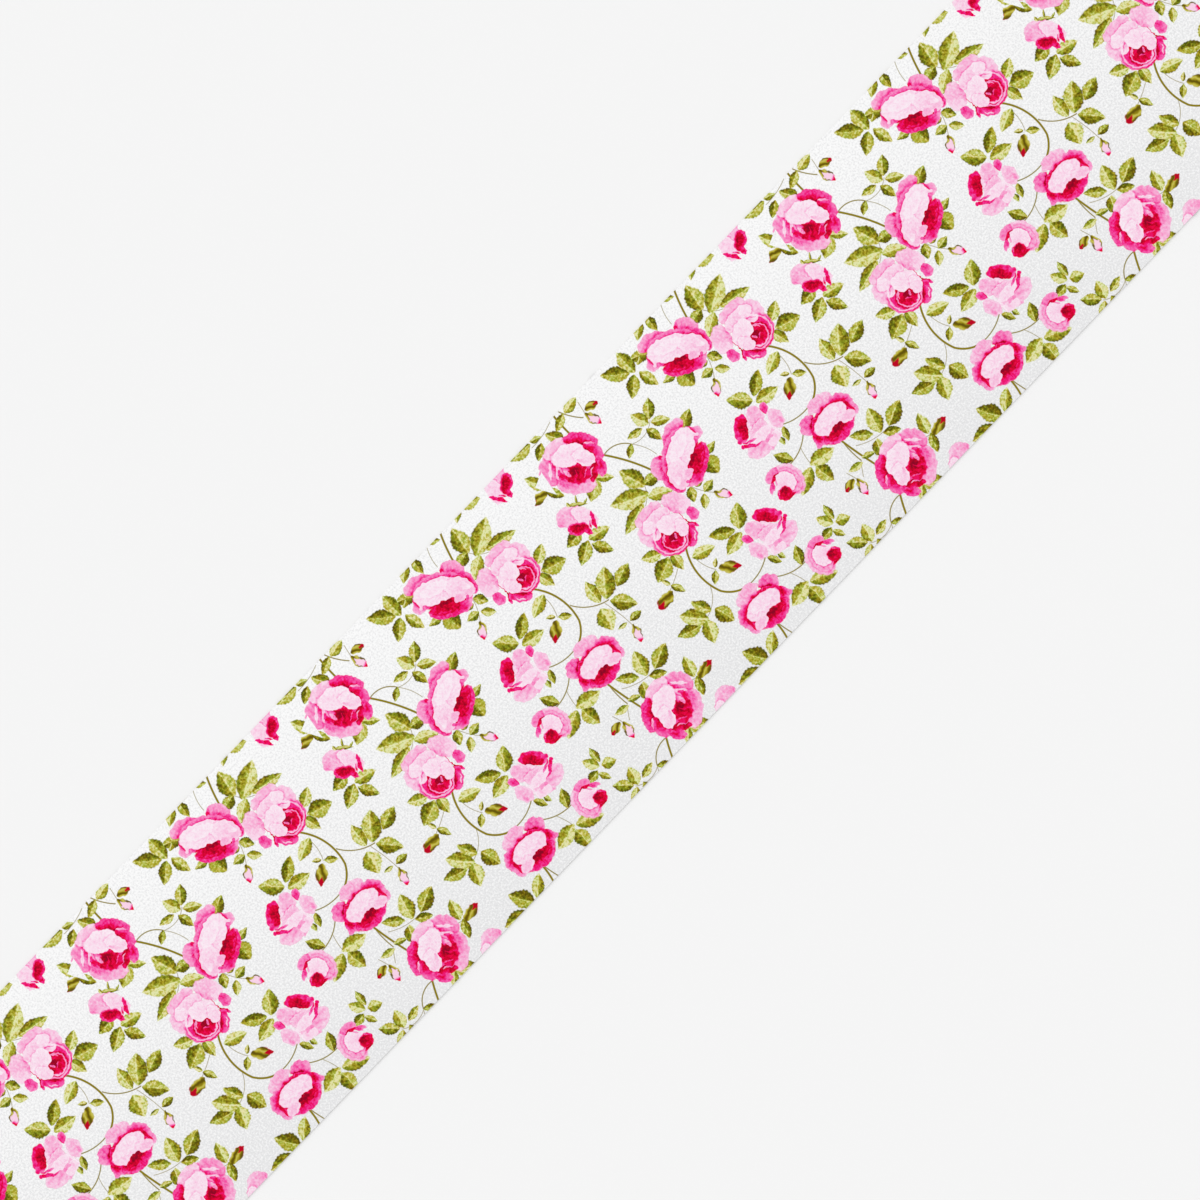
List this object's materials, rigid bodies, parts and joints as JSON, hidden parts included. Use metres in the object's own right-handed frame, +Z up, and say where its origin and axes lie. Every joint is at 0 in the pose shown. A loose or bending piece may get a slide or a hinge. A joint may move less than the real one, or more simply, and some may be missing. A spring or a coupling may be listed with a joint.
{
  "type": "fabric bolt",
  "caption": "Narrow printed cotton strip wound on a folded corrugated bolt board, with a free length pulled off the top and laid flat, print side up.",
  "frame": {"origin": "middle of the footprint of the bolt and its laid-out strip, at the level of the table", "axes": "+X along the strip from the bolt to the cut end, +Y across the strip, +Z up out of the printed face"},
  "size_m": [0.5412, 0.0761, 0.0218],
  "materials": {
    "printed_cotton": "matte white woven cotton with an all-over rose print",
    "board_liner": "matte kraft paper",
    "board_fluting": "matte recycled fluting paper",
    "gummed_tape": "semi-matte gummed kraft tape",
    "masking_tape": "matte crepe paper tape",
    "label": "smooth uncoated paper"
  },
  "bodies": {
    "bolt": {"board_outer_liner": "board_liner", "board_fluting": "board_fluting", "board_inner_liner": "board_liner", "board_joint_tape": "gummed_tape", "inner_end_tape": "masking_tape", "end_label": "label", "wound_fabric": "printed_cotton"},
    "ramp": {"ramp_panel": "printed_cotton"},
    "panel_1": {"strip_panel_1": "printed_cotton"},
    "panel_2": {"strip_panel_2": "printed_cotton"},
    "panel_3": {"strip_panel_3": "printed_cotton"},
    "free_end": {"free_end_panel": "printed_cotton"}
  },
  "joints": [
    {"name": "bolt_edge_lift", "type": "hinge", "parent": "bolt", "child": "ramp", "pos_m": [-0.18874, 0, 0.02179], "axis": [0, -1, 0], "range_deg": [0, 60]},
    {"name": "crease_1_fold", "type": "hinge", "parent": "ramp", "child": "panel_1", "pos_m": [-0.09386, 0, 0.00035], "axis": [0, -1, 0], "range_deg": [0, 60]},
    {"name": "crease_2_fold", "type": "hinge", "parent": "panel_1", "child": "panel_2", "pos_m": [0.00934, 0, 0.00035], "axis": [0, -1, 0], "range_deg": [0, 60]},
    {"name": "crease_3_fold", "type": "hinge", "parent": "panel_2", "child": "panel_3", "pos_m": [0.11304, 0, 0.00035], "axis": [0, -1, 0], "range_deg": [0, 90]},
    {"name": "crease_4_fold", "type": "hinge", "parent": "panel_3", "child": "free_end", "pos_m": [0.21894, 0, 0.00035], "axis": [0, -1, 0], "range_deg": [0, 175]}
  ]
}
